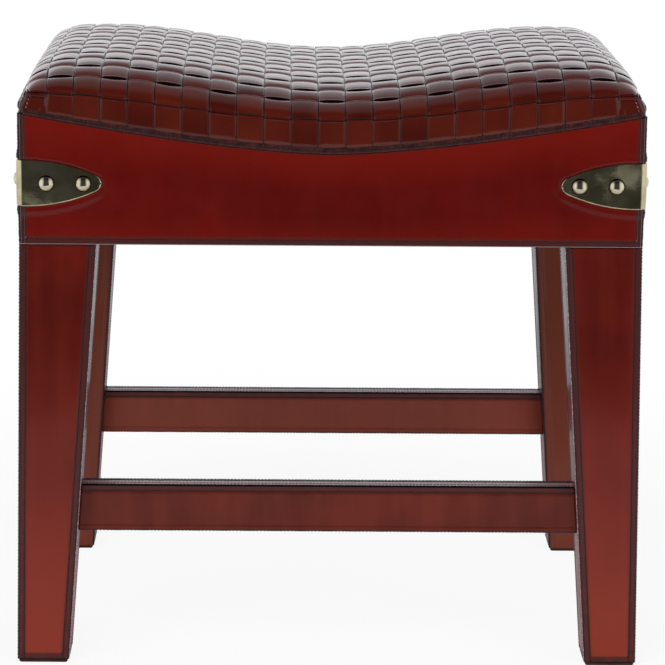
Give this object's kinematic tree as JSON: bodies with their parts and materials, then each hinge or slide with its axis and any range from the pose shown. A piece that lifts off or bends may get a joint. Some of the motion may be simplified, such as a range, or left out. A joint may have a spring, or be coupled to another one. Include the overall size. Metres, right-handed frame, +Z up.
{
  "type": "saddle stool",
  "caption": "Four-legged stool with a saddle-shaped seat of interlaced leather straps, leather-wrapped tapered legs and stretchers, and metal straps round the apron corners.",
  "frame": {"origin": "on the floor, under the middle of the stool", "axes": "+X along the seat to the sitter's right in the picture's view, +Y to the back, +Z up"},
  "size_m": [0.5082, 0.3604, 0.4954],
  "materials": {
    "leather_red": "glossy, dark stitched edges",
    "leather_woven": "glossy",
    "leather_sole": "matte, worn",
    "brass": "polished, antique",
    "wood": "plain sawn",
    "plywood": "plain",
    "foam": "soft upholstery foam",
    "cloth": "matte cambric",
    "steel": "plain"
  },
  "bodies": {
    "root": {"leg_core_front_left": "wood", "leg_core_front_right": "wood", "leg_core_back_left": "wood", "leg_core_back_right": "wood", "leg_cover_front_left": "leather_red", "leg_cover_front_right": "leather_red", "leg_cover_back_left": "leather_red", "leg_cover_back_right": "leather_red", "leg_sole_front_left": "leather_sole", "leg_sole_front_right": "leather_sole", "leg_sole_back_left": "leather_sole", "leg_sole_back_right": "leather_sole", "stretcher_core_front": "wood", "stretcher_core_back": "wood", "stretcher_cover_front": "leather_red", "stretcher_cover_back": "leather_red", "rail_front": "wood", "rail_back": "wood", "rail_left": "wood", "rail_right": "wood", "corner_block_front_left": "wood", "corner_block_front_right": "wood", "corner_block_back_left": "wood", "corner_block_back_right": "wood", "corner_block_screws": "steel", "seat_deck": "plywood", "seat_pad": "foam", "seat_straps_long": "leather_woven", "seat_straps_cross": "leather_woven", "seat_straps_end": "leather_woven", "apron_panel_front": "leather_red", "apron_panel_back": "leather_red", "apron_panel_left": "leather_red", "apron_panel_right": "leather_red", "corner_strap_front_left": "brass", "corner_strap_front_right": "brass", "corner_strap_back_left": "brass", "corner_strap_back_right": "brass", "corner_strap_rivets": "brass", "dust_cover": "cloth", "dust_cover_tacks": "steel"}
  },
  "joints": []
}
